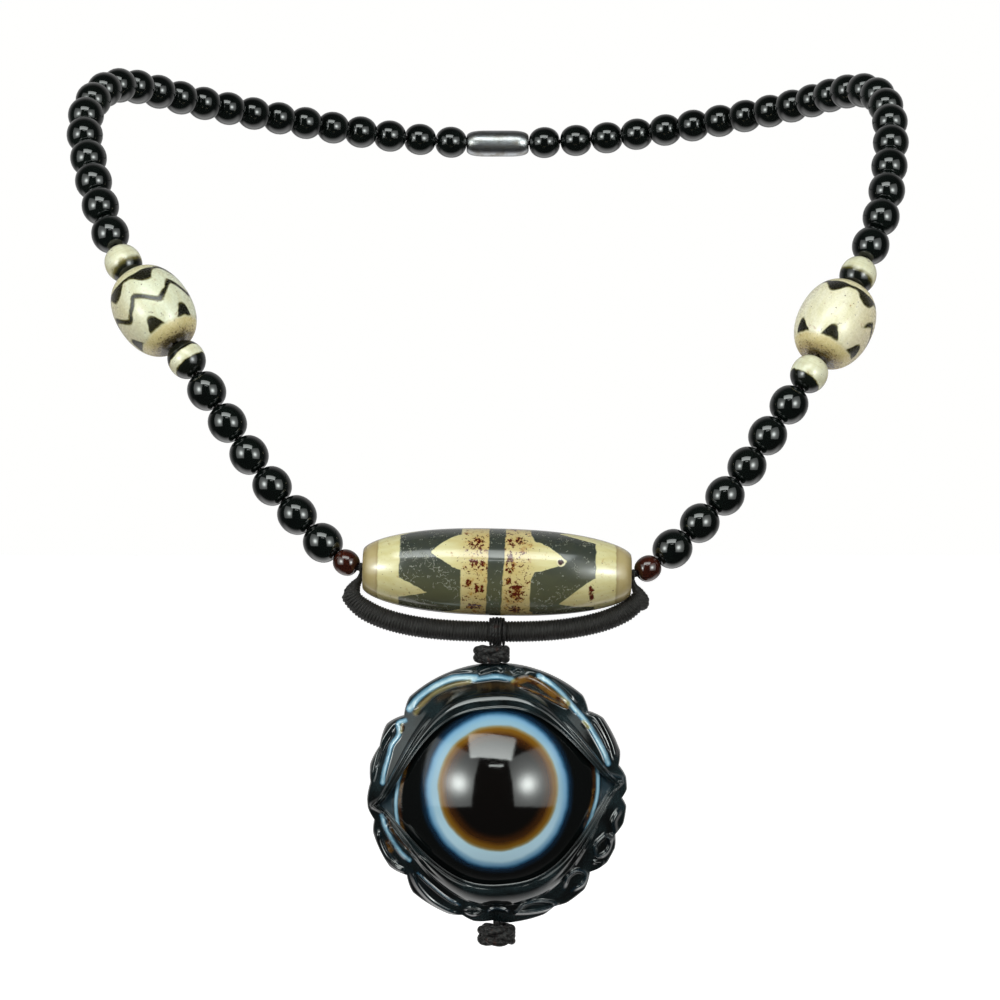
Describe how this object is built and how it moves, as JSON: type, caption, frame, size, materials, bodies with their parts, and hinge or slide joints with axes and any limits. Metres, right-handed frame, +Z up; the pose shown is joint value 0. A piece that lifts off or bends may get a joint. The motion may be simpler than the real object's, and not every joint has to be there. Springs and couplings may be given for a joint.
{
  "type": "bead necklace",
  "caption": "Strung agate bead necklace with a long patterned middle bead, a thread-wrapped bar under it and a carved round eye pendant hung from the bar.",
  "frame": {"origin": "the point on the clasp that bears on the nape of the neck", "axes": "+Z up as worn, -Y to the front of the wearer, +X to the wearer's left"},
  "size_m": [0.1409, 0.1218, 0.144],
  "materials": {
    "thread": "waxed twisted thread",
    "clasp": "plain satin",
    "long_dzi": "polished agate with cream and dark grey-green zigzag bands",
    "garnet": "polished dark red-brown",
    "banded_agate": "polished, cream and near-black bands",
    "zigzag_agate": "polished cream with a dark zigzag",
    "black_agate": "high polish, near black",
    "wound_thread": "close slanting turns of dark thread",
    "braided_cord": "braided dark brown cord",
    "eye_agate": "polished blue-black agate with a ringed amber-brown eye and carved bands"
  },
  "bodies": {
    "neck_string": {"thread": "thread", "clasp": "clasp", "dzi_bead": "long_dzi", "garnet_bead_left": "garnet", "garnet_bead_right": "garnet", "banded_bead_lower_left": "banded_agate", "banded_bead_lower_right": "banded_agate", "banded_bead_upper_left": "banded_agate", "banded_bead_upper_right": "banded_agate", "zigzag_bead_left": "zigzag_agate", "zigzag_bead_right": "zigzag_agate", "neck_beads_left": "black_agate", "neck_beads_right": "black_agate", "black_bead_left_1": "black_agate", "black_bead_left_2": "black_agate", "black_bead_left_3": "black_agate", "black_bead_left_4": "black_agate", "black_bead_left_5": "black_agate", "black_bead_left_6": "black_agate", "black_bead_right_1": "black_agate", "black_bead_right_2": "black_agate", "black_bead_right_3": "black_agate", "black_bead_right_4": "black_agate", "black_bead_right_5": "black_agate", "black_bead_right_6": "black_agate"},
    "cord_bar": {"wrapped_bar": "wound_thread"},
    "pendant_drop": {"hanging_knot": "braided_cord", "pendant_cord": "braided_cord", "eye_pendant": "eye_agate", "end_knot": "braided_cord"}
  },
  "joints": [
    {"name": "bar_swing", "type": "hinge", "parent": "neck_string", "child": "cord_bar", "pos_m": [0, -0.1055, -0.08], "axis": [0.9997, 0, -0.0244], "range_deg": [-45, 45]},
    {"name": "pendant_swing", "type": "hinge", "parent": "cord_bar", "child": "pendant_drop", "pos_m": [0, -0.1055, -0.08915], "axis": [0.9997, 0, -0.0244], "range_deg": [-60, 60]}
  ]
}
